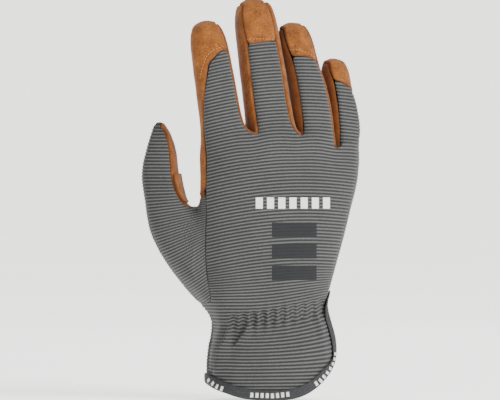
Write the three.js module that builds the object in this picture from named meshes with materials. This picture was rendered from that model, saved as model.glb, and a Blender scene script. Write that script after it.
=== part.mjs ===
// A work glove for the right hand, filled as when it is worn, fingers up.
// Ribbed stretch cloth covers the back and suede covers the palm and the fingertips.
// Millimetres, +Z up. The back of the hand faces -Y and the thumb is on the -X side.

import * as THREE from 'three';

// Palm, wrist and cuff
const palmLength = 165;
const palmWidth = 108;
const palmDepth = 31;
const wristWidth = 75;
const wristDepth = 42;
const cuffWidth = 84;
const cuffDepth = 52;

// Fingers, from the knuckle row to the tip
const indexLength = 77.6;
const indexWidth = 26.4;
const indexDepth = 22;
const middleLength = 87.5;
const middleWidth = 27;
const middleDepth = 22;
const ringLength = 73.8;
const ringWidth = 25.2;
const ringDepth = 20.6;
const littleLength = 54.5;
const littleWidth = 20.6;
const littleDepth = 18.6;

// Thumb, from the middle of its opening in the palm to its tip
const thumbLength = 82;
const thumbWidth = 24.5;
const thumbDepth = 23;

// Cloth, suede and tape
const clothWall = 1.6;
const suedeWall = 1.5;
const patchWall = 1.2;
const tapeWall = 0.9;
const tapeCover = 5.2;
const tapeLip = 1.5;
const seamGap = 0.3;
const seamDip = 0.45;
const tapeGap = 0.6;
const patchInset = 0.6;
const patchGap = 0.5;
const pleatDepth = 0.9;
const cuffFoldDepth = 2.2;

const clothColour = 0x5d6064;
const suedeColour = 0xa5642e;
const tapeColour = 0x25262a;
const suedeRoughness = 0.95;
const tapeRoughness = 0.85;

// Rows of the palm from the hem up. Heights are shares of the palm's length,
// wide and deep are shares of the named size, across is a share of the palm's width.
const cuff = { wide: cuffWidth, deep: cuffDepth };
const wrist = { wide: wristWidth, deep: wristDepth };
const palm = { wide: palmWidth, deep: palmDepth };
const palmRows = [
  { up: 0.010, tilt: 0.000, liftRight: 0.139, liftLeft: 0.060, size: cuff, wide: 0.95, deep: 1.00,
    across: 0.012, roll: 8, arch: 0.00, edgeLeft: 0.985, edgeRight: 0.985, fingers: 0 },
  { up: 0.108, tilt: 0.009, liftRight: 0.110, liftLeft: 0.010, size: cuff, wide: 0.955, deep: 0.96,
    across: 0.014, roll: 8, arch: 0.00, edgeLeft: 0.985, edgeRight: 0.985, fingers: 0 },
  { up: 0.218, tilt: 0.021, liftRight: 0.055, liftLeft: 0.000, size: wrist, wide: 1.02, deep: 1.10,
    across: 0.004, roll: 9, arch: 0.00, edgeLeft: 0.98, edgeRight: 0.98, fingers: 0 },
  { up: 0.324, tilt: 0.030, liftRight: 0.000, liftLeft: 0.000, size: wrist, wide: 0.955, deep: 1.00,
    across: 0.008, roll: 10, arch: 0.00, edgeLeft: 0.93, edgeRight: 0.96, fingers: 0 },
  { up: 0.400, tilt: 0.036, liftRight: 0.000, liftLeft: 0.000, size: wrist, wide: 1.11, deep: 1.04,
    across: -0.014, roll: 12, arch: 0.03, edgeLeft: 0.89, edgeRight: 0.94, fingers: 0.1 },
  { up: 0.533, tilt: 0.036, liftRight: 0.000, liftLeft: 0.000, size: palm, wide: 0.865, deep: 1.35,
    across: 0.003, roll: 15, arch: 0.06, edgeLeft: 0.93, edgeRight: 0.94, fingers: 0.3 },
  { up: 0.673, tilt: 0.036, liftRight: 0.000, liftLeft: 0.000, size: palm, wide: 0.93, deep: 1.26,
    across: 0.036, roll: 17, arch: 0.10, edgeLeft: 0.95, edgeRight: 0.93, fingers: 0.55 },
  { up: 0.824, tilt: 0.030, liftRight: -0.018, liftLeft: 0.000, size: palm, wide: 0.965, deep: 1.13,
    across: 0.072, roll: 19, arch: 0.14, edgeLeft: 0.98, edgeRight: 0.93, fingers: 0.8 },
  { up: 0.909, tilt: 0.024, liftRight: -0.030, liftLeft: -0.024, size: palm, wide: 0.967, deep: 1.04,
    across: 0.073, roll: 20, arch: 0.16, edgeLeft: 0.98, edgeRight: 0.93, fingers: 0.95 },
  { up: 1.000, tilt: 0.006, liftRight: -0.061, liftLeft: -0.073, size: palm, wide: 0.973, deep: 1.00,
    across: 0.070, roll: 20, arch: 0.16, edgeLeft: 0.97, edgeRight: 0.93, fingers: 1 },
];
const wristRow = 3;
const thumbLowRow = 4;
const thumbTopRow = 7;
const knuckleRow = palmRows.length - 1;
const ventColumn = 13;
const mouthShare = 0.048;
const hollowCornerCover = 0.85;
const palmEdgeLeft = 0.88;
const leftEdgeShare = -0.996;

// Where the fingers part at the knuckle row, as shares of half the palm's width
const fingerParts = [-0.40, 0.128, 0.624];
const crotchDrops = [0, -0.006, 0, 0.034, 0];
const palmSideRises = [0.027, 0.027, 0.027, 0.012, -0.02];

// Each finger stands on the knuckle row at its across and toBack shares. lean and flex tip it
// sideways and to the palm side. cap is where the suede tip starts, capDrops lower that seam
// at five places from left to right, as shares of the finger's width.
const fingers = [
  { name: 'index', length: indexLength, width: indexWidth, depth: indexDepth,
    across: -0.679, toBack: 0.015, sink: 0.018, lean: -10.0, bow: 0.00, flex: 0.075,
    roll: 8, tipRoll: 14, cap: 0.73, capDrops: [0.21, 0.02, 0, 0, 0],
    lowSeam: -0.94, midSeam: -0.66, capSeam: -0.22, tipSeam: -0.5, rightSeam: 0.84 },
  { name: 'middle', length: middleLength, width: middleWidth, depth: middleDepth,
    across: -0.130, toBack: 0.076, sink: 0.02, lean: -7.9, bow: 0.00, flex: 0.075,
    roll: 22, tipRoll: 22, cap: 0.675, capDrops: [0, 0, 0, 0, 0],
    lowSeam: -0.80, midSeam: -0.80, capSeam: -0.80, tipSeam: -0.9, rightSeam: 0.80 },
  { name: 'ring', length: ringLength, width: ringWidth, depth: ringDepth,
    across: 0.388, toBack: 0.074, sink: 0.06, lean: -11.6, bow: 0.13, flex: 0.085,
    roll: 27, tipRoll: 27, cap: 0.72, capDrops: [0, 0.01, 0.125, 0.29, 0.3],
    lowSeam: -0.80, midSeam: -0.80, capSeam: -0.82, tipSeam: -0.9, rightSeam: 0.80 },
  { name: 'little', length: littleLength, width: littleWidth, depth: littleDepth,
    across: 0.800, toBack: -0.234, sink: 0.12, lean: -6.8, bow: 0.11, flex: 0.09,
    roll: 37, tipRoll: 37, cap: 0.77, capDrops: [0, 0.06, 0.24, 0.44, 0.6],
    lowSeam: -0.78, midSeam: -0.78, capSeam: -0.80, tipSeam: -0.9, rightSeam: 0.80 },
];
// Sections of a finger. at is a share of its length, seam names where its left seam runs,
// and drop is how much of the cap seam's drop the section follows.
const fingerRings = [
  { at: 0.13, wide: 1.05, deep: 1.04, seam: 'lowSeam', drop: 0 },
  { at: 0.48, wide: 0.98, deep: 0.99, seam: 'midSeam', drop: 0.3 },
  { at: 'cap', wide: 0.94, deep: 0.94, seam: 'capSeam', drop: 1 },
  { at: 0.87, wide: 0.85, deep: 0.84, seam: 'tipSeam', drop: 0.1 },
  { at: 0.957, wide: 0.62, deep: 0.58, seam: 'tipSeam', drop: 0 },
];
const fingerTip = { at: 1, wide: 0.7, deep: 0.6, drop: 0 };
const capRing = 2;

// Sections of the thumb. aside and up are shares of its length from its opening,
// turn is the section's slope, behind moves it to the palm side.
const thumbRings = [
  { aside: -0.127, up: 0.106, turn: 64.3, wide: 1.73, deep: 1.26, behind: -0.085, roll: 10, seam: 0.96 },
  { aside: -0.233, up: 0.259, turn: 34.0, wide: 1.19, deep: 1.09, behind: -0.085, roll: 0, seam: 0.88 },
  { aside: -0.274, up: 0.420, turn: 8.6, wide: 1.00, deep: 1.00, behind: -0.070, roll: -10, seam: 0.82 },
  { aside: -0.299, up: 0.595, turn: 0.0, wide: 0.96, deep: 0.96, behind: -0.050, roll: -15, seam: 0.80 },
  { aside: -0.290, up: 0.779, turn: 0.0, wide: 0.76, deep: 0.76, behind: -0.025, roll: -15, seam: 0.78 },
  { aside: -0.297, up: 0.925, turn: 0.0, wide: 0.42, deep: 0.42, behind: -0.010, roll: -15, seam: 0.70 },
];
const thumbTip = { aside: -0.307, up: 0.985, turn: 0, wide: 0.4, deep: 0.3, behind: 0, roll: -15 };
const crotchDrop = 0.03;
const patchRings = [2, 3];

const roundness = 2.65;
const palmSeam = 0.8;
const columnsPerFinger = 3;
const degrees = Math.PI / 180;

// Half height of a rounded square section, at a share of its half width
function bulge(share) {
  return Math.pow(Math.max(0, 1 - Math.pow(Math.abs(share), roundness)), 1 / roundness);
}

function blend(from, to, share) {
  return from + (to - from) * share;
}

// Turns a section's sideways and backward lengths by the roll of the hand
function rolled(centre, across, toBack, along, roll) {
  const side = along.clone().multiplyScalar(Math.cos(roll * degrees));
  side.y += Math.sin(roll * degrees);
  const back = along.clone().multiplyScalar(Math.sin(roll * degrees));
  back.y -= Math.cos(roll * degrees);
  return centre.clone().addScaledVector(side, across).addScaledVector(back, toBack);
}

// A net of quads. Each point also has its row and column on the hand.
class Net {
  constructor() {
    this.points = [];
    this.places = [];
    this.quads = [];
  }

  addPoint(point, row, column) {
    this.points.push(point);
    this.places.push([row, column]);
    return this.points.length - 1;
  }

  addQuad(corners, panel, isPatch = false) {
    this.quads.push({ corners, panel, isPatch });
  }

  edgeKey(a, b) {
    return a < b ? `${a},${b}` : `${b},${a}`;
  }

  // Each edge with the quads on its two sides
  edges() {
    const edges = new Map();
    this.quads.forEach((quad, index) => {
      quad.corners.forEach((corner, k) => {
        const next = quad.corners[(k + 1) % 4];
        const key = this.edgeKey(corner, next);
        if (!edges.has(key)) {
          edges.set(key, { ends: [corner, next], quads: [] });
        }
        edges.get(key).quads.push(index);
      });
    });
    return edges;
  }

  mean(indices) {
    const point = new THREE.Vector3();
    const place = [0, 0];
    indices.forEach((index) => {
      point.addScaledVector(this.points[index], 1 / indices.length);
      place[0] += this.places[index][0] / indices.length;
      place[1] += this.places[index][1] / indices.length;
    });
    return { point, place };
  }

  // One round of Catmull-Clark smoothing. The old points come first in the new net.
  refined() {
    const net = new Net();
    const edges = this.edges();
    const around = this.points.map(() => ({ quads: [], edges: [] }));
    this.quads.forEach((quad, index) => quad.corners.forEach((corner) => around[corner].quads.push(index)));
    edges.forEach((edge) => edge.ends.forEach((end) => around[end].edges.push(edge)));
    const centres = this.quads.map((quad) => this.mean(quad.corners));

    this.points.forEach((point, index) => {
      const rim = around[index].edges.filter((edge) => edge.quads.length === 1);
      const moved = new THREE.Vector3();
      if (rim.length > 0) {
        moved.addScaledVector(point, 0.5);
        rim.forEach((edge) => moved.addScaledVector(this.mean(edge.ends).point, 0.25));
      } else {
        const count = around[index].quads.length;
        moved.addScaledVector(point, (count - 3) / count);
        around[index].quads.forEach((quad) => moved.addScaledVector(centres[quad].point, 1 / count ** 2));
        around[index].edges.forEach((edge) => {
          moved.addScaledVector(this.mean(edge.ends).point, 2 / count ** 2);
        });
      }
      net.addPoint(moved, ...this.places[index]);
    });

    const edgePoints = new Map();
    edges.forEach((edge, key) => {
      const { point, place } = this.mean(edge.ends);
      if (edge.quads.length === 2) {
        point.multiplyScalar(0.5);
        edge.quads.forEach((quad) => point.addScaledVector(centres[quad].point, 0.25));
      }
      edgePoints.set(key, net.addPoint(point, ...place));
    });

    this.quads.forEach((quad, index) => {
      const centre = net.addPoint(centres[index].point, ...centres[index].place);
      quad.corners.forEach((corner, k) => {
        const next = quad.corners[(k + 1) % 4];
        const last = quad.corners[(k + 3) % 4];
        const after = edgePoints.get(this.edgeKey(corner, next));
        const before = edgePoints.get(this.edgeKey(last, corner));
        net.addQuad([corner, after, centre, before], quad.panel, quad.isPatch);
      });
    });
    return net;
  }

  // Pushes the points out until the smooth surface passes through where they were
  fitted(rounds) {
    const targets = this.points.map((point) => point.clone());
    for (let round = 0; round < rounds; round += 1) {
      const smooth = this.refined();
      this.points.forEach((point, index) => point.add(targets[index]).sub(smooth.points[index]));
    }
    return this;
  }

  normals() {
    const normals = this.points.map(() => new THREE.Vector3());
    this.quads.forEach(({ corners }) => {
      const [a, b, c, d] = corners.map((corner) => this.points[corner]);
      const across = c.clone().sub(a);
      const normal = across.cross(d.clone().sub(b));
      corners.forEach((corner) => normals[corner].add(normal));
    });
    return normals.map((normal) => normal.normalize());
  }
}

// Share of half the width of each of the thirteen lengthwise lines over the back
function columnShares(row, leftEdge) {
  const parts = [-leftEdge, ...fingerParts, row.edgeRight];
  const count = columnsPerFinger * (parts.length - 1);
  return Array.from({ length: count + 1 }, (_, column) => {
    const finger = Math.min(parts.length - 2, Math.floor(column / columnsPerFinger));
    const inFinger = column / columnsPerFinger - finger;
    const byFinger = blend(parts[finger], parts[finger + 1], inFinger);
    const even = blend(-leftEdge, row.edgeRight, column / count);
    return blend(even, byFinger, row.fingers);
  });
}

// How late a row's right end rises, and how far an arched row sinks towards the palm
const liftPower = 2.6;
const archSink = 0.4;

function rowHeight(row, share) {
  const right = Math.max(0, share);
  const left = Math.abs(Math.min(0, share));
  const lift = row.liftRight * right ** liftPower + row.liftLeft * share ** 2 * left;
  return palmLength * (row.up + row.tilt * share + lift);
}

// toBack is 1 on the back of the hand, -1 on the palm side and 0 halfway
function palmPoint(row, share, toBack) {
  const halfWidth = row.size.wide * row.wide / 2;
  const halfDepth = row.size.deep * row.deep / 2 * (1 - 0.1 * share);
  const arch = palmDepth * row.arch * (0.5 - share * share);
  const archShift = -palmDepth * row.arch * archSink;
  const centre = new THREE.Vector3(palmWidth * row.across, archShift, rowHeight(row, share));
  const toSide = new THREE.Vector3(1, 0, 0);
  return rolled(centre, share * halfWidth, toBack * halfDepth * bulge(share) + arch, toSide, row.roll);
}

// The tube of the palm: lines over the back, the right edge, lines over the palm, the left edge
function addPalm(net) {
  const rows = palmRows.map((row, rowIndex) => {
    const shares = columnShares(row, row.edgeLeft);
    const palmShares = columnShares(row, palmEdgeLeft);
    const last = shares.length - 1;
    const ring = [];
    shares.forEach((share, column) => ring.push({ point: palmPoint(row, share, 1), column }));
    ring.push({ point: palmPoint(row, 1, 0), column: last + 1 });
    for (let column = last; column >= 0; column -= 1) {
      ring.push({ point: palmPoint(row, palmShares[column], -1), column: 2 * last + 2 - column });
    }
    ring.push({ point: palmPoint(row, leftEdgeShare, -1), column: -1 });
    if (rowIndex === wristRow) {
      ring[last + 1].point.z += palmLength * 0.03;
    }
    if (rowIndex === thumbTopRow) {
      ring[ring.length - 1].point.z -= palmLength * crotchDrop;
      ring[ring.length - 2].point.z -= palmLength * crotchDrop;
    }
    if (rowIndex === knuckleRow) {
      ring.forEach((spot, index) => {
        const part = spot.column > last ? (2 * last + 2 - spot.column) / 3 : spot.column / 3;
        const isCrotch = Number.isInteger(part) && part > 0 && part < 4;
        spot.point.z -= isCrotch ? palmLength * crotchDrops[part] : 0;
        if (index > last + 1 && index < 2 * last + 3) {
          const low = Math.min(3, Math.floor(part));
          spot.point.z += palmLength * blend(palmSideRises[low], palmSideRises[low + 1], part - low);
        }
      });
    }
    return ring.map(({ point, column }) => net.addPoint(point, rowIndex, column));
  });

  const count = rows[0].length;
  const right = (count - 2) / 2;
  for (let row = 0; row < knuckleRow; row += 1) {
    for (let column = 0; column < count; column += 1) {
      const next = (column + 1) % count;
      const isVent = row < wristRow && (column === right - 1 || column === right);
      const isThumb = row >= thumbLowRow && row < thumbTopRow && column >= count - 2;
      if (!isVent && !isThumb) {
        const onBack = column < right || (column >= count - 2 && row < thumbLowRow);
        const corners = [rows[row][column], rows[row][next], rows[row + 1][next], rows[row + 1][column]];
        net.addQuad(corners, onBack ? 'back_panel' : 'palm_panel');
      }
    }
  }
  return rows;
}

// A place on the rounded section, by its angle from the left edge over the back
function spotAt(angle) {
  const across = Math.cos(angle);
  return {
    share: -Math.sign(across) * Math.pow(Math.abs(across), 2 / roundness),
    toBack: Math.sin(angle) < 0 ? -1 : 1,
  };
}

function seamAngle(share) {
  return Math.acos(-Math.sign(share) * Math.pow(Math.abs(share), roundness / 2));
}

// The ten points round a finger or the thumb: left edge, back, right edge, palm side
function sectionSpots(leftSeam, rightSeam) {
  const left = seamAngle(leftSeam);
  const right = seamAngle(rightSeam);
  const palmSide = seamAngle(palmSeam);
  const palmLeft = 2 * Math.PI - seamAngle(-palmSeam);
  const palmRight = 2 * Math.PI - palmSide;
  return [
    (left + palmLeft - 2 * Math.PI) / 2,
    left,
    blend(left, right, 1 / 3),
    blend(left, right, 2 / 3),
    right,
    (right + palmRight) / 2,
    palmRight,
    blend(palmRight, palmLeft, 1 / 3),
    blend(palmRight, palmLeft, 2 / 3),
    palmLeft,
  ].map(spotAt);
}

// Joins two rings of ten points with quads, panels named by column
function addBand(net, lower, upper, panels, patchColumns = []) {
  lower.forEach((corner, column) => {
    const next = (column + 1) % lower.length;
    const corners = [corner, lower[next], upper[next], upper[column]];
    net.addQuad(corners, panels[column], patchColumns.includes(column));
  });
}

// Closes a ring of ten points over two points at the tip
function addTip(net, ring, left, right, panels) {
  const [leftEdge, backLeft, backA, backB, backRight, rightEdge, palmRight, palmB, palmA, palmLeft] = ring;
  net.addQuad([leftEdge, backLeft, backA, left], panels[0]);
  net.addQuad([backA, backB, right, left], panels[1]);
  net.addQuad([backB, backRight, rightEdge, right], panels[2]);
  net.addQuad([rightEdge, palmRight, palmB, right], panels[3]);
  net.addQuad([palmB, palmA, left, right], panels[4]);
  net.addQuad([palmA, palmLeft, leftEdge, left], panels[5]);
}

function fingerPoint(finger, ring, spot, capDrop) {
  const at = ring.at === 'cap' ? finger.cap : ring.at;
  const knuckles = palmRows[knuckleRow];
  const base = new THREE.Vector3(palmWidth * knuckles.across, -palmDepth * knuckles.arch * 0.4, 0);
  const toSide = new THREE.Vector3(1, 0, 0);
  const centre = rolled(base, finger.across * palmWidth / 2, finger.toBack * palmDepth / 2, toSide,
    knuckles.roll);
  const lean = finger.lean * degrees;
  const along = finger.length * (at + finger.sink * (at - 1));
  const tipDrop = capDrop * ring.drop * finger.width;
  centre.z = rowHeight(knuckles, finger.across) + along * Math.cos(lean) - tipDrop;
  centre.x += along * Math.sin(lean) + 1.4 * finger.bow * at * (1 - at) * finger.length;
  centre.y += finger.flex * finger.length * at ** 1.6;
  const leaning = new THREE.Vector3(Math.cos(lean), 0, -Math.sin(lean));
  const roll = blend(finger.roll, finger.tipRoll, at);
  const across = spot.share * finger.width * ring.wide / 2;
  const toBack = spot.toBack * bulge(spot.share) * finger.depth * ring.deep / 2;
  return rolled(centre, across, toBack, leaning, roll);
}

// The panels round a finger's ten columns, below and above the seam of its suede tip
function fingerPanels(order, isCap) {
  const isLast = order === fingers.length - 1;
  const between = (left) => `fourchette_${fingers[left].name}_${fingers[left + 1].name}`;
  const left = order === 0 ? 'palm_panel' : between(order - 1);
  const right = isLast ? 'palm_panel' : between(order);
  const back = isCap ? 'palm_panel' : 'back_panel';
  const frontPanel = 'palm_panel';
  return [left, back, back, back, isLast ? back : right, right, frontPanel, frontPanel, frontPanel, left];
}

function addFinger(net, palmRing, finger, order) {
  let lower = palmRing;
  fingerRings.forEach((ring, ringIndex) => {
    const spots = sectionSpots(finger[ring.seam], finger.rightSeam);
    const upper = spots.map((spot, k) => {
      const capDrop = k > 0 && k < 6 ? finger.capDrops[k - 1] : 0;
      const point = fingerPoint(finger, ring, spot, capDrop);
      return net.addPoint(point, knuckleRow + 1 + ringIndex, net.places[palmRing[k]][1]);
    });
    addBand(net, lower, upper, fingerPanels(order, ringIndex > capRing));
    lower = upper;
  });
  const tips = [-0.3, 0.3].map((share) => {
    const point = fingerPoint(finger, fingerTip, { share, toBack: 0 }, 0);
    return net.addPoint(point, knuckleRow + 1 + fingerRings.length, 0);
  });
  addTip(net, lower, tips[0], tips[1], Array(6).fill('palm_panel'));
}

function addThumb(net, rows) {
  const left = rows[0].length - 1;
  const opening = [rows[thumbLowRow][left]];
  for (let row = thumbLowRow; row <= thumbTopRow; row += 1) {
    opening.push(rows[row][0]);
  }
  opening.push(rows[thumbTopRow][left]);
  for (let row = thumbTopRow; row >= thumbLowRow; row -= 1) {
    opening.push(rows[row][left - 1]);
  }
  const ends = [opening[0], opening[5]].map((index) => net.points[index]);
  const middle = ends[0].clone().add(ends[1]).multiplyScalar(0.5);
  const thumbPoint = (ring, spot) => {
    const centre = new THREE.Vector3(middle.x + thumbLength * ring.aside, thumbLength * ring.behind,
      middle.z + thumbLength * ring.up);
    const slope = new THREE.Vector3(Math.cos(ring.turn * degrees), 0, Math.sin(ring.turn * degrees));
    const halfDepth = thumbDepth * ring.deep / 2;
    const alongWidth = spot.share * thumbWidth * ring.wide / 2;
    const alongDepth = spot.toBack * halfDepth * bulge(spot.share);
    return rolled(centre, alongWidth, alongDepth, slope, ring.roll);
  };
  let lower = opening;
  thumbRings.forEach((ring, ringIndex) => {
    const upper = sectionSpots(-0.8, ring.seam).map((spot, k) => {
      return net.addPoint(thumbPoint(ring, spot), ...net.places[opening[k]]);
    });
    const onBack = ['thumb_back', 'thumb_back', 'thumb_back', 'thumb_back'];
    const onFront = ['thumb_front', 'thumb_front', 'thumb_front', 'thumb_front', 'thumb_front'];
    const underPatch = patchRings.includes(ringIndex) ? [4, 5, 6] : [];
    addBand(net, lower, upper, [...onBack, ...onFront, 'thumb_back'], underPatch);
    lower = upper;
  });
  const tips = [-0.35, 0.35].map((share) => {
    return net.addPoint(thumbPoint(thumbTip, { share, toBack: 0 }), ...net.places[opening[0]]);
  });
  addTip(net, lower, tips[0], tips[1],
    ['thumb_back', 'thumb_back', 'thumb_front', 'thumb_front', 'thumb_front', 'thumb_back']);
}

function gloveNet() {
  const net = new Net();
  const rows = addPalm(net);
  const top = rows[knuckleRow];
  const count = top.length;
  const webs = [1, 2, 3].map((part) => {
    const onBack = net.points[top[part * 3]];
    const onPalm = net.points[top[count - 2 - part * 3]];
    const middle = onBack.clone().add(onPalm).multiplyScalar(0.5);
    return net.addPoint(middle, knuckleRow, part * 3);
  });
  fingers.forEach((finger, order) => {
    const first = order * 3;
    const back = [0, 1, 2, 3].map((step) => top[first + step]);
    const front = [3, 2, 1, 0].map((step) => top[count - 2 - first - step]);
    const left = order === 0 ? top[count - 1] : webs[order - 1];
    const right = order === 3 ? top[13] : webs[order];
    addFinger(net, [left, ...back, right, ...front], finger, order);
  });
  addThumb(net, rows);
  return net;
}

// The net with the wrist's gathers and the long fold at the cuff's left pressed in
function gatheredNet() {
  const net = gloveNet().fitted(6).refined();
  const normals = net.normals();
  net.points.forEach((point, index) => {
    const [row, column] = net.places[index];
    const fromWrist = Math.abs(row - wristRow) / (row < wristRow ? 0.75 : 0.6);
    const held = Math.max(0, 1 - fromWrist);
    const fromVent = Math.min(1, Math.max(0, (Math.abs(column - ventColumn) - 1) / 2));
    const pleat = Math.cos(2 * Math.PI * column) * pleatDepth * held * fromVent;
    const foldColumn = blend(0.7, 2.2, row / wristRow);
    const nearFold = Math.exp(-(((column - foldColumn) / 0.6) ** 2));
    const fold = row < wristRow ? nearFold * cuffFoldDepth * Math.min(1, row / 1.5) : 0;
    point.addScaledVector(normals[index], pleat - fold);
  });
  return net;
}

// Meshes are gathered here before they become three.js geometry
class Body {
  constructor() {
    this.points = [];
    this.faces = [];
  }

  addPoint(point) {
    this.points.push(point);
    return this.points.length - 1;
  }

  addQuad(a, b, c, d) {
    this.faces.push([a, b, c], [a, c, d]);
  }

  geometry() {
    const geometry = new THREE.BufferGeometry();
    const values = this.points.flatMap((point) => [point.x, point.y, point.z]);
    geometry.setAttribute('position', new THREE.Float32BufferAttribute(values, 3));
    geometry.setIndex(this.faces.flat());
    geometry.computeVertexNormals();
    return geometry;
  }
}

// The rim of some quads as a map from each point to the next, with the quads on the left
function rimSteps(quads) {
  const sides = quads.flatMap(({ corners }) => corners.map((corner, k) => [corner, corners[(k + 1) % 4]]));
  const seen = new Set(sides.map(([from, to]) => `${from},${to}`));
  return new Map(sides.filter(([from, to]) => !seen.has(`${to},${from}`)));
}

// The step in the surface that leads from a rim point one millimetre into the cloth
function inwardStep(net, normals, last, point, next) {
  const sides = [[last, point], [point, next]].map(([from, to]) => {
    const along = net.points[to].clone().sub(net.points[from]);
    return new THREE.Vector3().crossVectors(normals[point], along).normalize();
  });
  const inward = sides[0].clone().add(sides[1]).normalize();
  return inward.divideScalar(Math.max(0.5, inward.dot(sides[0])));
}

// The net's quads as a wall. raise lifts its outer face, inset draws its rim in and dip turns it down.
function wallBody(net, normals, quads, { raise, wall, inset, dip }) {
  const steps = rimSteps(quads);
  const lasts = new Map([...steps].map(([from, to]) => [to, from]));
  const body = new Body();
  const outer = new Map();
  const inner = new Map();
  new Set(quads.flatMap((quad) => quad.corners)).forEach((index) => {
    const point = net.points[index].clone();
    const isRim = steps.has(index);
    if (isRim) {
      point.addScaledVector(inwardStep(net, normals, lasts.get(index), index, steps.get(index)), inset);
    }
    const top = raise - (isRim ? dip : 0);
    outer.set(index, body.addPoint(point.clone().addScaledVector(normals[index], top)));
    inner.set(index, body.addPoint(point.clone().addScaledVector(normals[index], raise - wall)));
  });
  quads.forEach(({ corners: [a, b, c, d] }) => {
    body.addQuad(outer.get(a), outer.get(b), outer.get(c), outer.get(d));
    body.addQuad(inner.get(d), inner.get(c), inner.get(b), inner.get(a));
  });
  steps.forEach((next, index) => {
    const wallCorners = [outer.get(index), inner.get(index), inner.get(next), outer.get(next)];
    const first = index < next ? 0 : 1;
    body.addQuad(...[0, 1, 2, 3].map((k) => wallCorners[(k + first) % 4]));
  });
  return body;
}

// The net points that lie straight inward from a point of the hem, corners going in diagonally
function pathInward(net, quadsAt, start, length) {
  const shared = (a, b) => a.corners.filter((corner) => b.corners.includes(corner));
  const path = [start];
  let around = quadsAt[start];
  if (around.length === 2) {
    while (path.length < length) {
      const here = path[path.length - 1];
      const next = shared(around[0], around[1]).find((corner) => corner !== here);
      path.push(next);
      around = quadsAt[next].filter((quad) => !quad.corners.includes(here));
    }
    return path;
  }
  let quad = around.find((one) => around.every((other) => shared(one, other).length > 1));
  while (path.length < length) {
    const here = path[path.length - 1];
    const next = quad.corners[(quad.corners.indexOf(here) + 2) % 4];
    path.push(next);
    quad = quadsAt[next].find((other) => shared(quad, other).length === 1);
  }
  return path;
}

// A tape folded over the hem: its section goes up the outside, round the edge and up the inside
function tapeBody(net, normals, wall) {
  const steps = rimSteps(net.quads);
  const lasts = new Map([...steps].map(([from, to]) => [to, from]));
  const quadsAt = net.points.map(() => []);
  net.quads.forEach((quad) => quad.corners.forEach((corner) => quadsAt[corner].push(quad)));
  const near = tapeGap;
  const far = tapeGap + tapeWall;
  const section = [
    [tapeCover, far], [tapeCover / 2, far], [tapeWall - tapeLip, far], [-tapeLip, near],
    [-tapeLip, -wall - near], [tapeWall - tapeLip, -wall - far], [tapeCover / 2, -wall - far],
    [tapeCover, -wall - far], [tapeCover, -wall - near], [tapeCover / 2, -wall - near],
    [tapeWall - tapeLip, -wall - near], [tapeWall - tapeLip, near], [tapeCover / 2, near],
    [tapeCover, near],
  ];
  const body = new Body();
  const rings = [];
  let index = steps.keys().next().value;
  for (let count = 0; count < steps.size; count += 1) {
    const path = pathInward(net, quadsAt, index, 5);
    const inward = inwardStep(net, normals, lasts.get(index), index, steps.get(index));
    const first = net.points[path[1]].clone().sub(net.points[path[0]]).normalize();
    const isHollowCorner = quadsAt[index].length === 3;
    const facing = first.dot(inward.clone().normalize());
    const slant = isHollowCorner ? hollowCornerCover : inward.length() / Math.max(0.5, facing);
    rings.push(section.map(([into, raise]) => {
      let rest = into * slant;
      let step = 0;
      let [from, to] = [path[0], path[1]];
      let length = net.points[from].distanceTo(net.points[to]);
      while (rest > length && step < path.length - 2) {
        rest -= length;
        step += 1;
        [from, to] = [path[step], path[step + 1]];
        length = net.points[from].distanceTo(net.points[to]);
      }
      const point = net.points[from].clone().lerp(net.points[to], rest / length);
      const normal = normals[from].clone().lerp(normals[to], Math.max(0, rest / length)).normalize();
      return body.addPoint(point.addScaledVector(normal, raise));
    }));
    index = steps.get(index);
  }
  rings.forEach((ring, order) => {
    const next = rings[(order + 1) % rings.length];
    ring.forEach((corner, k) => {
      const after = (k + 1) % ring.length;
      body.addQuad(corner, ring[after], next[after], next[k]);
    });
  });
  return body;
}

function namedMesh(name, body, colour, roughness) {
  const material = new THREE.MeshStandardMaterial({ color: colour, roughness, metalness: 0 });
  const mesh = new THREE.Mesh(body.geometry(), material);
  mesh.name = name;
  return mesh;
}

const net = gatheredNet();
const normals = net.normals();
const seams = { raise: 0, inset: seamGap / 2, dip: seamDip };
const panels = [
  { name: 'back_panel', wall: clothWall, colour: clothColour, roughness: 0.9 },
  { name: 'thumb_back', wall: clothWall, colour: clothColour, roughness: 0.9 },
  { name: 'palm_panel', wall: suedeWall, colour: suedeColour, roughness: 0.95 },
  { name: 'fourchette_index_middle', wall: suedeWall, colour: suedeColour, roughness: 0.95 },
  { name: 'fourchette_middle_ring', wall: suedeWall, colour: suedeColour, roughness: 0.95 },
  { name: 'fourchette_ring_little', wall: suedeWall, colour: suedeColour, roughness: 0.95 },
  { name: 'thumb_front', wall: suedeWall, colour: suedeColour, roughness: 0.95 },
];
const glove = new THREE.Group();

// The origin is the middle of the cuff's mouth
glove.position.set(-palmWidth * palmRows[0].across, 0, -palmLength * mouthShare);
panels.forEach(({ name, wall, colour, roughness }) => {
  const quads = net.quads.filter((quad) => quad.panel === name);
  glove.add(namedMesh(name, wallBody(net, normals, quads, { ...seams, wall }), colour, roughness));
});

const patchQuads = net.quads.filter((quad) => quad.isPatch);
const patchSides = { raise: patchGap + patchWall, wall: patchWall, inset: patchInset, dip: 0 };
const patchBody = wallBody(net, normals, patchQuads, patchSides);
glove.add(namedMesh('thumb_patch', patchBody, suedeColour, suedeRoughness));
const hemWall = Math.max(clothWall, suedeWall);
glove.add(namedMesh('cuff_binding', tapeBody(net, normals, hemWall), tapeColour, tapeRoughness));

export default glove;
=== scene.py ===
import math

import bmesh
import bpy
from mathutils import Matrix, Vector, bvhtree, kdtree, noise


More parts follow.
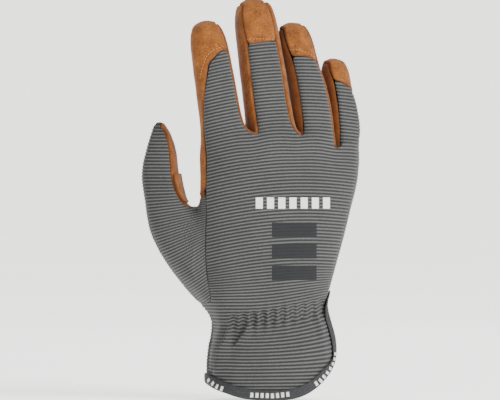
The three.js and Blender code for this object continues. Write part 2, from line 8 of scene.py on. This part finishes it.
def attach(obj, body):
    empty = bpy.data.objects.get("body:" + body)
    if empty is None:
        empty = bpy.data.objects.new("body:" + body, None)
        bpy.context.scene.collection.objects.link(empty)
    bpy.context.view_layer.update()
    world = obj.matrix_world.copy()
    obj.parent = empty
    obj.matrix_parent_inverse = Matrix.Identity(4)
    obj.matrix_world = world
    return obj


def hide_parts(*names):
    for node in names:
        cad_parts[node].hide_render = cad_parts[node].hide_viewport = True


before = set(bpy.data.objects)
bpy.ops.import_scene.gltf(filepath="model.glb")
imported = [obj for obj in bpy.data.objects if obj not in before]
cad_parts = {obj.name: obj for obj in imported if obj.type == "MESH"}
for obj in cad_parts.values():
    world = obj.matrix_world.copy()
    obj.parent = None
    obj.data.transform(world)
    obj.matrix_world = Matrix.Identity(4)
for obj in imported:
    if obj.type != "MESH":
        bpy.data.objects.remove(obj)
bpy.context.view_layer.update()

mm = 0.001

# Every cloth piece starts as a clean copy of its CAD node
shell = {
    "mergeDistance": 0.01 * mm,
    "sharpAngle": math.radians(52),
    "levels": 2,
    "tapeLevels": 1,
    "dentSize": 24 * mm,
    "dentDepth": 0.5 * mm,
    "wrinkleSize": 6 * mm,
    "wrinkleDepth": 0.12 * mm,
    "wrinkleDecay": 0.8,
    "wrinkleStep": 2.1,
    "wrinkleOctaves": 3,
    "rimCrease": 0.75,
    "roll": 0.4 * mm,
    "rollPlace": 1.3 * mm,
    "rollWide": 1.1 * mm,
    "gussetRoll": 0.9 * mm,
    "gussetPuff": 2.3 * mm,
    "puffWide": 4 * mm,
}

# The hand's edge under the little finger: each bump has its move, its height and its reach
handEdge = {
    "from": 38 * mm,
    "to": 55 * mm,
    "bumps": [(1.2 * mm, 145 * mm, 6.5 * mm), (-0.9 * mm, 155 * mm, 4.5 * mm)],
}


def smoothStep(low, high, value):
    share = min(1, max(0, (value - low) / (high - low)))
    return share * share * (3 - 2 * share)


def quadCopy(node):
    copy = bmesh.new()
    copy.from_mesh(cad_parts[node].data)
    bmesh.ops.remove_doubles(copy, verts=copy.verts, dist=shell["mergeDistance"])
    bmesh.ops.join_triangles(copy, faces=copy.faces, angle_face_threshold=math.pi,
                             angle_shape_threshold=math.pi)
    return copy


# Slot 0 is the outer side, 1 the inner side and 2 the cut edge between them
def markSides(copy, outward):
    copy.faces.ensure_lookup_table()
    copy.faces.index_update()
    seen = [False] * len(copy.faces)
    regions = []
    for start in copy.faces:
        if seen[start.index]:
            continue
        seen[start.index] = True
        region = [start]
        waiting = [start]
        while waiting:
            face = waiting.pop()
            for edge in face.edges:
                if edge.calc_face_angle(0) > shell["sharpAngle"]:
                    continue
                for other in edge.link_faces:
                    if not seen[other.index]:
                        seen[other.index] = True
                        region.append(other)
                        waiting.append(other)
        regions.append(region)
    regions.sort(key=lambda faces: -sum(face.calc_area() for face in faces))
    both = regions[:2]
    both.sort(key=lambda faces: -max(vert.co.dot(outward) for face in faces for vert in face.verts))
    for face in copy.faces:
        face.material_index = 2
    for side, faces in enumerate(both):
        for face in faces:
            face.material_index = side
    crease = copy.edges.layers.float.new("crease_edge")
    for edge in copy.edges:
        sides = {face.material_index for face in edge.link_faces}
        if len(sides) > 1:
            edge[crease] = shell["rimCrease"]


def newPiece(name, mesh, material, node=None):
    for face in mesh.polygons:
        face.use_smooth = True
        face.material_index = 0
    mesh.materials.clear()
    mesh.materials.append(material)
    piece = bpy.data.objects.new(name, mesh)
    bpy.context.scene.collection.objects.link(piece)
    if node:
        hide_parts(node)
    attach(piece, "root")
    return piece


# Catmull-Clark rounds with the side marks kept
def smoothed(copy, levels):
    mesh = bpy.data.meshes.new("draft")
    for _ in range(3):
        mesh.materials.append(None)
    copy.to_mesh(mesh)
    copy.free()
    draft = bpy.data.objects.new("draft", mesh)
    bpy.context.scene.collection.objects.link(draft)
    rounds = draft.modifiers.new("rounds", "SUBSURF")
    rounds.levels = levels
    rounds.render_levels = levels
    graph = bpy.context.evaluated_depsgraph_get()
    fine = bmesh.new()
    fine.from_mesh(draft.evaluated_get(graph).to_mesh())
    bpy.data.objects.remove(draft)
    bpy.data.meshes.remove(mesh)
    return fine


# Distance of every point from the piece's cut edge, kept as an attribute for the materials
def markSeams(fine):
    layer = fine.verts.layers.float.new("seam")
    rim = [vert for vert in fine.verts if any(face.material_index == 2 for face in vert.link_faces)]
    tree = kdtree.KDTree(len(rim))
    for index, vert in enumerate(rim):
        tree.insert(vert.co, index)
    tree.balance()
    for vert in fine.verts:
        vert[layer] = tree.find(vert.co)[2]


# Soft dents and small wrinkles, the same on both sides of a seam
def dentAt(point):
    wide = noise.noise(point / shell["dentSize"]) * shell["dentDepth"]
    wrinkle = noise.fractal(point / shell["wrinkleSize"], shell["wrinkleDecay"], shell["wrinkleStep"],
                            shell["wrinkleOctaves"])
    return wide + wrinkle * shell["wrinkleDepth"]


def addDents(fine):
    fine.normal_update()
    moves = [(vert, vert.normal * dentAt(vert.co)) for vert in fine.verts]
    for vert, move in moves:
        vert.co += move


# The suede stands up in a soft roll beside each seam
def addRolls(fine, roll, puff):
    seam = fine.verts.layers.float["seam"]
    fine.normal_update()
    moves = []
    for vert in fine.verts:
        if all(face.material_index == 0 for face in vert.link_faces):
            away = (vert[seam] - shell["rollPlace"]) / shell["rollWide"]
            lift = roll * math.exp(-away * away) + puff * smoothStep(0, shell["puffWide"], vert[seam])
            moves.append((vert, vert.normal * lift))
    for vert, move in moves:
        vert.co += move


# Fills the hand's edge out below the little finger's knuckle and draws it in above
def evenEdge(fine):
    for vert in fine.verts:
        share = smoothStep(handEdge["from"], handEdge["to"], vert.co.x)
        for move, height, reach in handEdge["bumps"]:
            vert.co.x += share * move * math.exp(-((vert.co.z - height) / reach) ** 2)


# Ribs of the stretch cloth
ribs = {
    "pitch": 2.09 * mm,
    "height": 0.5 * mm,
    "roundness": 0.8,
    "middle": 0.35,
    "step": 0.44 * mm,
    "upright": 0.7,
    "tilt": 0.09,
    "tiltChange": 4.2,
    "cuffTilt": 6.0,
    "cuffLevel": -17 * mm,
    "elastic": 52 * mm,
    "hand": 78 * mm,
    "crotches": [(-10.7 * mm, 154 * mm), (16.3 * mm, 157 * mm), (40.7 * mm, 149 * mm)],
    "crotchDip": 0.9 * mm,
    "crotchWide": 7 * mm,
    "crotchTall": 12 * mm,
}

thumbRibs = {
    "levelFrom": 130 * mm,
    "slopedTo": 84 * mm,
    "start": -76 * mm,
    "tilt": 0.27,
    "tiltChange": 12.0,
}


def handRib(point):
    x, z = point.x, point.z
    hand = smoothStep(ribs["elastic"], ribs["hand"], z)
    cuff = (1 - hand) * smoothStep(0, ribs["elastic"], z)
    lean = ribs["tilt"] * x - ribs["tiltChange"] * x * x / 2
    cuffLean = ribs["cuffTilt"] * max(0, x - ribs["cuffLevel"]) ** 2 / 2
    dip = 0
    for crotchX, crotchZ in ribs["crotches"]:
        away = ((x - crotchX) / ribs["crotchWide"]) ** 2 + ((z - crotchZ) / ribs["crotchTall"]) ** 2
        dip += ribs["crotchDip"] * math.exp(-away)
    bend = puckers["bend"] * puckerAt(point)
    return (z - hand * lean - cuff * cuffLean + dip - bend) / ribs["pitch"]


def thumbRib(point):
    along = max(0, point.x - thumbRibs["start"])
    lean = thumbRibs["tilt"] * along + thumbRibs["tiltChange"] * along * along / 2
    sloped = 1 - smoothStep(thumbRibs["slopedTo"], thumbRibs["levelFrom"], point.z)
    return (point.z - sloped * lean) / ribs["pitch"]


# Cuts the outer side's lengthwise edges until a rib has five points across it
def cutRows(fine):
    fine.edges.ensure_lookup_table()
    fine.edges.index_update()
    parent = list(range(len(fine.edges)))

    def root(index):
        while parent[index] != index:
            parent[index] = parent[parent[index]]
            index = parent[index]
        return index

    outer = [face for face in fine.faces if face.material_index == 0 and len(face.verts) == 4]
    used = set()
    for face in outer:
        sides = [edge.index for edge in face.edges]
        used.update(sides)
        for first, second in ((0, 2), (1, 3)):
            parent[root(sides[first])] = root(sides[second])
    rings = {}
    for index in sorted(used):
        rings.setdefault(root(index), []).append(fine.edges[index])
    byCuts = {}
    for edges in rings.values():
        upward = sum(abs(edge.verts[0].co.z - edge.verts[1].co.z) for edge in edges)
        length = sum(edge.calc_length() for edge in edges)
        if upward > ribs["upright"] * length:
            cuts = math.ceil(length / len(edges) / ribs["step"]) - 1
            if cuts > 0:
                byCuts.setdefault(cuts, []).extend(edges)
    for cuts, edges in sorted(byCuts.items()):
        bmesh.ops.subdivide_edges(fine, edges=edges, cuts=cuts, use_grid_fill=True)


# Puckers that the elastic pulls into the cloth at the wrist
puckers = {
    "left": (-33.3 * mm, 40.4 * mm),
    "right": (34.4 * mm, 52.3 * mm),
    "depth": 3.8 * mm,
    "wide": 1.8 * mm,
    "above": 2.6 * mm,
    "below": 7.5 * mm,
    "leastShare": 0.01,
    "bend": 0.3,
    "first": -22.9 * mm,
    "last": 32.0 * mm,
    "count": 10,
}


def puckerAt(point):
    (leftX, leftZ), (rightX, rightZ) = puckers["left"], puckers["right"]
    share = (point.x - leftX) / (rightX - leftX)
    height = point.z - (leftZ + (rightZ - leftZ) * share)
    reach = puckers["above"] if height > 0 else puckers["below"]
    near = math.exp(-(height / reach) ** 2)
    if point.y > 0 or near < puckers["leastShare"]:
        return 0
    pitch = (puckers["last"] - puckers["first"]) / (puckers["count"] - 1)
    place = (point.x - puckers["first"]) / pitch
    order = min(puckers["count"] - 1, max(0, round(place)))
    aside = (place - order) * pitch
    return near * math.exp(-(aside / puckers["wide"]) ** 2) * puckers["depth"]


# Folds that fall from the elastic over the cuff. The crest is a line of x and z, and the cloth left of it
# lies deeper. A fold grows from nothing over a share of its length at each end.
foldGrowth = {"bottom": 0.25, "top": 0.12}
folds = [
    {"line": [(-23.2 * mm, 42 * mm), (-27.4 * mm, 31 * mm), (-31.4 * mm, 22.8 * mm), (-34.5 * mm, 5 * mm)],
     "depth": 6.0 * mm, "slope": 5 * mm, "wide": 9 * mm, "lift": 3.2 * mm, "liftWide": 6 * mm},
    {"line": [(-12.6 * mm, 41 * mm), (-16.5 * mm, 33 * mm), (-21.5 * mm, 25 * mm)],
     "depth": 4.0 * mm, "slope": 3 * mm, "wide": 5 * mm, "lift": 2.0 * mm, "liftWide": 4 * mm},
    {"line": [(28 * mm, 47 * mm), (31 * mm, 38 * mm), (33 * mm, 28 * mm)],
     "depth": 2.0 * mm, "slope": 3 * mm, "wide": 4 * mm, "lift": 1.2 * mm, "liftWide": 3 * mm},
]


def foldAt(point):
    sink = 0
    if point.y > 0:
        return sink
    for fold in folds:
        line = fold["line"]
        top, bottom = line[0][1], line[-1][1]
        if not bottom < point.z < top:
            continue
        for (highX, highZ), (lowX, lowZ) in zip(line, line[1:]):
            if lowZ <= point.z <= highZ:
                crest = lowX + (highX - lowX) * (point.z - lowZ) / (highZ - lowZ)
        ends = smoothStep(0, foldGrowth["bottom"], (point.z - bottom) / (top - bottom))
        ends *= smoothStep(0, foldGrowth["top"], (top - point.z) / (top - bottom))
        aside = point.x - crest
        if aside < 0:
            reach = math.exp(aside / fold["wide"])
            sink += fold["depth"] * ends * reach * smoothStep(0, fold["slope"], -aside)
            sink -= fold["lift"] * ends * math.exp(2 * aside / fold["slope"])
        else:
            sink -= fold["lift"] * ends * math.exp(-aside / fold["liftWide"])
    return sink


def addRibs(fine, ribAt, hasPuckers):
    layer = fine.verts.layers.float.new("rib")
    fine.normal_update()
    moves = []
    for vert in fine.verts:
        place = ribAt(vert.co)
        vert[layer] = place
        if all(face.material_index == 0 for face in vert.link_faces):
            ridge = 0.5 + 0.5 * math.cos(2 * math.pi * place)
            lift = ribs["height"] * (ridge ** ribs["roundness"] - ribs["middle"])
            sink = puckerAt(vert.co) + foldAt(vert.co) if hasPuckers else 0
            moves.append((vert, vert.normal * (lift - sink)))
    for vert, move in moves:
        vert.co += move


# A socket among the values is linked, and any other value is set
def setInputs(tree, node, values):
    for name, value in values.items():
        if isinstance(value, bpy.types.NodeSocket):
            tree.links.new(value, node.inputs[name])
        else:
            node.inputs[name].default_value = value


# Adds one node and gives back the output asked for
def addNode(tree, kind, output, values, **settings):
    node = tree.nodes.new(kind)
    for name, value in settings.items():
        setattr(node, name, value)
    setInputs(tree, node, values)
    return node.outputs[output]


def linear(hexColour):
    channels = [int(hexColour[start:start + 2], 16) / 255 for start in (1, 3, 5)]
    return [c / 12.92 if c <= 0.04045 else ((c + 0.055) / 1.055) ** 2.4 for c in channels] + [1]


def setStops(rampColour, stops):
    elements = rampColour.node.color_ramp.elements
    while len(elements) < len(stops):
        elements.new(0.5)
    for element, (place, colour) in zip(elements, stops):
        element.position = place
        element.color = linear(colour)


def newMaterial(name):
    material = bpy.data.materials.new(name)
    material.use_nodes = True
    tree = material.node_tree
    return material, tree, tree.nodes["Principled BSDF"]


# Polyester and elastane rib knit: rounded matt ridges in mid grey, with painted shade darkening the valleys
# and painted light on the ridges, over random yarn grain and patchy tone. The stops are valley, flank and
# ridge.
ribCloth = {
    "stops": [(0.12, "#2a2b2b"), (0.55, "#3e3e3e"), (1.0, "#5c5c5a")],
    "yarnSize": 0.7 * mm,
    "yarnDetail": 3,
    "yarnRoughness": 0.7,
    "yarnShare": 1.2,
    "patchSize": 30 * mm,
    "patchDetail": 2,
    "patchShare": 0.35,
    "roughness": 0.92,
    "specular": 0.25,
    "sheen": 0.12,
    "bump": 0.06 * mm,
    "bumpStrength": 0.7,
}

# A plain print, level and square: a row of white blocks over three dark bars. Each field has its limits
# along X and Z, and a mark fills the first share of every pitch along one of them.
printFields = [
    {
        "X": (-9 * mm, 37.4 * mm),
        "Z": (111.5 * mm, 118.5 * mm),
        "along": "X",
        "pitch": 7.0 * mm,
        "share": 0.62,
        "colour": "#e9e9e6",
    },
    {
        "X": (1 * mm, 29 * mm),
        "Z": (67 * mm, 105 * mm),
        "along": "Z",
        "pitch": 13.4 * mm,
        "share": 0.68,
        "colour": "#242527",
    },
]


def printed(tree, place, colour):
    axes = addNode(tree, "ShaderNodeSeparateXYZ", "X", {"Vector": place}).node.outputs
    for field in printFields:
        along = field["along"]
        start = field[along][0]
        travel = addNode(tree, "ShaderNodeMath", 0, {0: axes[along], 1: start}, operation="SUBTRACT")
        steps = addNode(tree, "ShaderNodeMath", 0, {0: travel, 1: field["pitch"]}, operation="DIVIDE")
        fraction = addNode(tree, "ShaderNodeMath", 0, {0: steps}, operation="FRACT")
        tests = [(fraction, "LESS_THAN", field["share"]), (axes["Y"], "LESS_THAN", 0)]
        for axis in "XZ":
            lowest, highest = field[axis]
            tests += [(axes[axis], "GREATER_THAN", lowest), (axes[axis], "LESS_THAN", highest)]
        mask = 1
        for source, operation, limit in tests:
            inside = addNode(tree, "ShaderNodeMath", 0, {0: source, 1: limit}, operation=operation)
            mask = addNode(tree, "ShaderNodeMath", 0, {0: inside, 1: mask}, operation="MULTIPLY")
        ink = linear(field["colour"])
        colour = addNode(tree, "ShaderNodeMix", 2, {0: mask, 6: colour, 7: ink}, data_type="RGBA")
    return colour


def ribClothMaterial(hasPrint):
    material, tree, shader = newMaterial("rib_knit_printed" if hasPrint else "rib_knit")
    place = addNode(tree, "ShaderNodeTexCoord", "Object", {})
    rib = addNode(tree, "ShaderNodeAttribute", "Fac", {}, attribute_name="rib")
    # The rib wave paints shade into the valleys and light onto the ridges; yarn grain and patchy tone are
    # added to it
    turn = addNode(tree, "ShaderNodeMath", 0, {0: rib, 1: 2 * math.pi}, operation="MULTIPLY")
    wave = addNode(tree, "ShaderNodeMath", 0, {0: turn}, operation="COSINE")
    ribShadeAndGrain = addNode(tree, "ShaderNodeMath", 0, {0: wave, 1: 0.5, 2: 0.5}, operation="MULTIPLY_ADD")
    yarn = addNode(tree, "ShaderNodeTexNoise", "Fac", {
        "Vector": place,
        "Scale": 1 / ribCloth["yarnSize"],
        "Detail": ribCloth["yarnDetail"],
        "Roughness": ribCloth["yarnRoughness"],
    })
    patch = addNode(tree, "ShaderNodeTexNoise", "Fac", {
        "Vector": place,
        "Scale": 1 / ribCloth["patchSize"],
        "Detail": ribCloth["patchDetail"],
    })
    for grain, share in ((yarn, ribCloth["yarnShare"]), (patch, ribCloth["patchShare"])):
        centred = addNode(tree, "ShaderNodeMath", 0, {0: grain, 1: 0.5}, operation="SUBTRACT")
        ribShadeAndGrain = addNode(tree, "ShaderNodeMath", 0, {0: centred, 1: share, 2: ribShadeAndGrain}, operation="MULTIPLY_ADD")
    colour = addNode(tree, "ShaderNodeValToRGB", "Color", {"Fac": ribShadeAndGrain})
    setStops(colour, ribCloth["stops"])
    if hasPrint:
        colour = printed(tree, place, colour)
    setInputs(tree, shader, {
        "Base Color": colour,
        "Roughness": ribCloth["roughness"],
        "Specular IOR Level": ribCloth["specular"],
        "Sheen Weight": ribCloth["sheen"],
        "Normal": addNode(tree, "ShaderNodeBump", "Normal", {
            "Height": yarn,
            "Distance": ribCloth["bump"],
            "Strength": ribCloth["bumpStrength"],
        }),
    })
    return material


# Synthetic suede: matt, short brushed nap that mottles light and dark, with painted shade darkening it along
# the seam grooves at the sewn edges
suede = {
    "stops": [(0.36, "#4f2b10"), (0.5, "#7c481b"), (0.66, "#9c622c")],
    "napSize": 0.9 * mm,
    "napDetail": 4,
    "napRoughness": 0.75,
    "napShare": 0.65,
    "brushSize": 7 * mm,
    "brushDetail": 3,
    "brushShare": 0.35,
    # Painted shade colour for the seam grooves, and how far it reaches from the cut edge
    "edge": "#5a2d10",
    "seamShadeFull": 0.22 * mm,
    "seamShadeWidth": 1.1 * mm,
    "seamShadeShare": 0.6,
    "roughness": 0.95,
    "specular": 0.2,
    "sheen": 0.15,
    "bump": 0.12 * mm,
    "bumpStrength": 0.6,
}


def suedeMaterial():
    material, tree, shader = newMaterial("brushed_suede")
    place = addNode(tree, "ShaderNodeTexCoord", "Object", {})
    nap = addNode(tree, "ShaderNodeTexNoise", "Fac", {
        "Vector": place,
        "Scale": 1 / suede["napSize"],
        "Detail": suede["napDetail"],
        "Roughness": suede["napRoughness"],
    })
    brush = addNode(tree, "ShaderNodeTexNoise", "Fac", {
        "Vector": place,
        "Scale": 1 / suede["brushSize"],
        "Detail": suede["brushDetail"],
    })
    brushed = addNode(tree, "ShaderNodeMath", 0, {0: brush, 1: suede["brushShare"]}, operation="MULTIPLY")
    mottle = addNode(tree, "ShaderNodeMath", 0, {0: nap, 1: suede["napShare"], 2: brushed},
                     operation="MULTIPLY_ADD")
    colour = addNode(tree, "ShaderNodeValToRGB", "Color", {"Fac": mottle})
    setStops(colour, suede["stops"])
    # Painted shade: darker towards each seam, where the suede turns down into the groove
    seam = addNode(tree, "ShaderNodeAttribute", "Fac", {}, attribute_name="seam")
    near = addNode(tree, "ShaderNodeMapRange", 0, {
        "Value": seam,
        "From Min": suede["seamShadeFull"],
        "From Max": suede["seamShadeWidth"],
        "To Min": suede["seamShadeShare"],
        "To Max": 0,
    })
    seamShaded = addNode(tree, "ShaderNodeMix", 2, {0: near, 6: colour, 7: linear(suede["edge"])},
                    data_type="RGBA")
    setInputs(tree, shader, {
        "Base Color": seamShaded,
        "Roughness": suede["roughness"],
        "Specular IOR Level": suede["specular"],
        "Sheen Weight": suede["sheen"],
        "Normal": addNode(tree, "ShaderNodeBump", "Normal", {
            "Height": nap,
            "Distance": suede["bump"],
            "Strength": suede["bumpStrength"],
        }),
    })
    return material


# Polyester binding tape: flat tight weave, dark grey, with a faint grain
tape = {
    "stops": [(0.3, "#17181a"), (0.7, "#303133")],
    "threadPitch": 0.7 * mm,
    "threadDetail": 2,
    "roughness": 0.8,
    "bump": 0.08 * mm,
    "bumpStrength": 0.5,
}


def tapeMaterial():
    material, tree, shader = newMaterial("woven_tape")
    place = addNode(tree, "ShaderNodeTexCoord", "Object", {})
    weave = addNode(tree, "ShaderNodeTexNoise", "Fac", {
        "Vector": place,
        "Scale": 1 / tape["threadPitch"],
        "Detail": tape["threadDetail"],
    })
    colour = addNode(tree, "ShaderNodeValToRGB", "Color", {"Fac": weave})
    setStops(colour, tape["stops"])
    setInputs(tree, shader, {
        "Base Color": colour,
        "Roughness": tape["roughness"],
        "Normal": addNode(tree, "ShaderNodeBump", "Normal", {
            "Height": weave,
            "Distance": tape["bump"],
            "Strength": tape["bumpStrength"],
        }),
    })
    return material


# Polyester sewing thread, slightly glossy, with plies that shade it
thread = {
    "plySize": 0.3 * mm,
    "plyShade": 0.8,
}


def threadMaterial(name, hexColour, roughness):
    material, tree, shader = newMaterial(name)
    place = addNode(tree, "ShaderNodeTexCoord", "Object", {})
    ply = addNode(tree, "ShaderNodeTexNoise", "Fac", {"Vector": place, "Scale": 1 / thread["plySize"]})
    lit = linear(hexColour)
    shaded = [c * thread["plyShade"] for c in lit[:3]] + [1]
    colour = addNode(tree, "ShaderNodeMix", 2, {0: ply, 6: lit, 7: shaded}, data_type="RGBA")
    setInputs(tree, shader, {"Base Color": colour, "Roughness": roughness})
    return material


print("materials")
printedRib = ribClothMaterial(True)
plainRib = ribClothMaterial(False)
suedeNap = suedeMaterial()
wovenTape = tapeMaterial()
tanThread = threadMaterial("tan_thread", "#c98f56", 0.6)
whiteThread = threadMaterial("white_thread", "#e6e6e2", 0.7)


def finishMesh(name, fine):
    mesh = bpy.data.meshes.new(name)
    fine.to_mesh(mesh)
    fine.free()
    return mesh


print("ribbed cloth")
toBack = Vector((0, -1, 0))
toPalm = Vector((0, 1, 0))
clothPieces = [
    ("back_cloth", "back_panel", handRib, printedRib, True),
    ("thumb_cloth", "thumb_back", thumbRib, plainRib, False),
]
for name, node, ribAt, material, hasPuckers in clothPieces:
    copy = quadCopy(node)
    markSides(copy, toBack)
    fine = smoothed(copy, shell["levels"])
    evenEdge(fine)
    addDents(fine)
    cutRows(fine)
    markSeams(fine)
    addRibs(fine, ribAt, hasPuckers)
    newPiece(name, finishMesh(name, fine), material, node)

print("suede")
suedePieces = [
    ("palm_suede", "palm_panel", shell["roll"], 0),
    ("gusset_index_middle", "fourchette_index_middle", shell["gussetRoll"], 0),
    ("gusset_middle_ring", "fourchette_middle_ring", shell["gussetRoll"], shell["gussetPuff"]),
    ("gusset_ring_little", "fourchette_ring_little", shell["gussetRoll"], 0),
    ("thumb_suede", "thumb_front", shell["roll"], 0),
    ("thumb_overlay", "thumb_patch", 0, 0),
]
for name, node, roll, puff in suedePieces:
    copy = quadCopy(node)
    markSides(copy, toPalm)
    fine = smoothed(copy, shell["levels"])
    evenEdge(fine)
    addDents(fine)
    markSeams(fine)
    addRolls(fine, roll, puff)
    newPiece(name, finishMesh(name, fine), suedeNap, node)

print("binding")
tapeMesh = finishMesh("cuff_tape", smoothed(quadCopy("cuff_binding"), shell["tapeLevels"]))
newPiece("cuff_tape", tapeMesh, wovenTape, "cuff_binding")


# Points a fixed step apart along a few given ones
def evenPoints(points, step):
    spots = []
    left = 0
    for first, second in zip(points, points[1:]):
        start, end = Vector(first), Vector(second)
        length = (end - start).length
        while left < length:
            spots.append(start.lerp(end, left / length))
            left += step
        left -= length
    return spots


# Top-stitching beside the cap seams, as x and z in millimetres
stitches = {
    "length": 1.2 * mm,
    "gap": 0.8 * mm,
    "radius": 0.17 * mm,
    "lines": [
        [(-25.6, 212.2), (-29.5, 212.4), (-34.5, 210.8), (-39.3, 206.9), (-42.4, 198.9), (-44.2, 189.6)],
        [(-14.2, 217.2), (-5.1, 217.6), (4.0, 217.2)],
        [(12.5, 211.2), (18.8, 210.9), (26.5, 207.9), (32.2, 202.6)],
    ],
}


castFrom = -0.2


def surfaceTree(piece):
    graph = bpy.context.evaluated_depsgraph_get()
    return bvhtree.BVHTree.FromObject(piece, graph)


def frontSpot(tree, x, z):
    spot, normal, _, _ = tree.ray_cast(Vector((x, castFrom, z)), toPalm)
    return spot, normal


print("stitches")
palmTree = surfaceTree(bpy.data.objects["palm_suede"])
threads = bmesh.new()
for line in stitches["lines"]:
    points = [(x * mm, 0, z * mm) for x, z in line]
    spots = evenPoints(points, stitches["length"] + stitches["gap"])
    for spot, after in zip(spots, spots[1:]):
        along = (after - spot).normalized()
        place, normal = frontSpot(palmTree, spot.x, spot.z)
        if place is None:
            continue
        side = normal.cross(along).normalized()
        ahead = side.cross(normal)
        turn = Matrix((ahead, side, normal)).transposed().to_4x4()
        size = Matrix.Diagonal((stitches["length"] / 2, stitches["radius"], stitches["radius"], 1))
        bmesh.ops.create_uvsphere(threads, u_segments=8, v_segments=6, radius=1,
                                  matrix=Matrix.Translation(place) @ turn @ size)
newPiece("top_stitching", finishMesh("top_stitching", threads), tanThread)

# Plain woven dashes along the binding, as x and z in millimetres
dashes = {
    "long": 1.9 * mm,
    "tall": 3.0 * mm,
    "thick": 0.12 * mm,
    "gap": 1.3 * mm,
    "inGroup": 8,
    "skipped": 5,
    "first": 4,
    "path": [(-38.5, 4.6), (-33, 0.8), (-24, -2.4), (-12, -4.0), (2, -4.6), (14, -3.4), (24, -0.2),
             (31, 4.1), (36.6, 10), (40.2, 16.4), (41.3, 24), (41.0, 31)],
}

print("dashes")
tapeTree = surfaceTree(bpy.data.objects["cuff_tape"])
blocks = bmesh.new()
points = [(x * mm, 0, z * mm) for x, z in dashes["path"]]
spots = evenPoints(points, dashes["long"] + dashes["gap"])
for order, (spot, after) in enumerate(zip(spots, spots[1:])):
    if (order + dashes["first"]) % (dashes["inGroup"] + dashes["skipped"]) >= dashes["inGroup"]:
        continue
    place, normal = frontSpot(tapeTree, spot.x, spot.z)
    if place is None:
        continue
    along = (after - spot).normalized()
    side = normal.cross(along).normalized()
    turn = Matrix((side.cross(normal), side, normal)).transposed().to_4x4()
    size = Matrix.Diagonal((dashes["long"], dashes["tall"], dashes["thick"] * 2, 1))
    bmesh.ops.create_cube(blocks, size=1, matrix=Matrix.Translation(place) @ turn @ size)
newPiece("binding_dashes", finishMesh("binding_dashes", blocks), whiteThread)

# Pale sweep under and behind the glove
studio = {
    "floorHeight": -8.3 * mm,
    "halfWide": 4.0,
    "front": -4.0,
    "back": 3.6,
    "rise": 3.0,
    "bend": 1.0,
    "bendSegments": 16,
    "roughness": 0.9,
    "colour": "#f7f7f5",
    "glow": 1.5,
    "skyColour": "#ffffff",
    "skyStrength": 0.5,
}

print("studio")
sweep = bmesh.new()
sides = (-studio["halfWide"], studio["halfWide"])
nearEnds = [sweep.verts.new((side, studio["front"], studio["floorHeight"])) for side in sides]
rows = [sweep.edges.new(nearEnds)]
for offset in ((0, studio["back"] - studio["front"], 0), (0, 0, studio["rise"])):
    made = bmesh.ops.extrude_edge_only(sweep, edges=rows[-1:])["geom"]
    moved = [item for item in made if isinstance(item, bmesh.types.BMVert)]
    bmesh.ops.translate(sweep, verts=moved, vec=offset)
    rows.append(next(row for row in moved[0].link_edges if row.other_vert(moved[0]) in moved))
bmesh.ops.bevel(sweep, geom=rows[1:2], offset=studio["bend"], segments=studio["bendSegments"],
                profile=0.5, affect="EDGES", material=-1)
floorMaterial, floorTree, floorShader = newMaterial("pale_paper")
setInputs(floorTree, floorShader, {
    "Base Color": linear(studio["colour"]),
    "Roughness": studio["roughness"],
    "Emission Color": linear(studio["colour"]),
    "Emission Strength": studio["glow"],
})
floorMesh = finishMesh("floor", sweep)
floorMesh.materials.append(floorMaterial)
floor = bpy.data.objects.new("floor", floorMesh)
bpy.context.scene.collection.objects.link(floor)

world = bpy.context.scene.world or bpy.data.worlds.new("studio")
bpy.context.scene.world = world
world.use_nodes = True
sky = {"Color": linear(studio["skyColour"]), "Strength": studio["skyStrength"]}
setInputs(world.node_tree, world.node_tree.nodes["Background"], sky)

lights = [
    {"name": "key", "at": (1.2, -1.0, 1.1), "size": 0.8, "power": 46},
    {"name": "fill", "at": (-1.2, -1.4, 0.6), "size": 1.4, "power": 4},
    {"name": "rim", "at": (0.3, 1.2, 1.3), "size": 1.0, "power": 10},
]
aim = Vector((-0.0126, 0, 0.1169))
for lamp in lights:
    data = bpy.data.lights.new(lamp["name"], "AREA")
    data.size = lamp["size"]
    data.energy = lamp["power"]
    light = bpy.data.objects.new(lamp["name"], data)
    light.location = lamp["at"]
    light.rotation_euler = (aim - light.location).to_track_quat("-Z", "Y").to_euler()
    bpy.context.scene.collection.objects.link(light)

view = {"distance": 2.6, "lens": 298.6, "sensor": 36}
cameraData = bpy.data.cameras.new("camera")
cameraData.lens = view["lens"]
cameraData.sensor_width = view["sensor"]
camera = bpy.data.objects.new("camera", cameraData)
camera.location = aim + toBack * view["distance"]
camera.rotation_euler = (math.pi / 2, 0, 0)
bpy.context.scene.collection.objects.link(camera)
bpy.context.scene.camera = camera
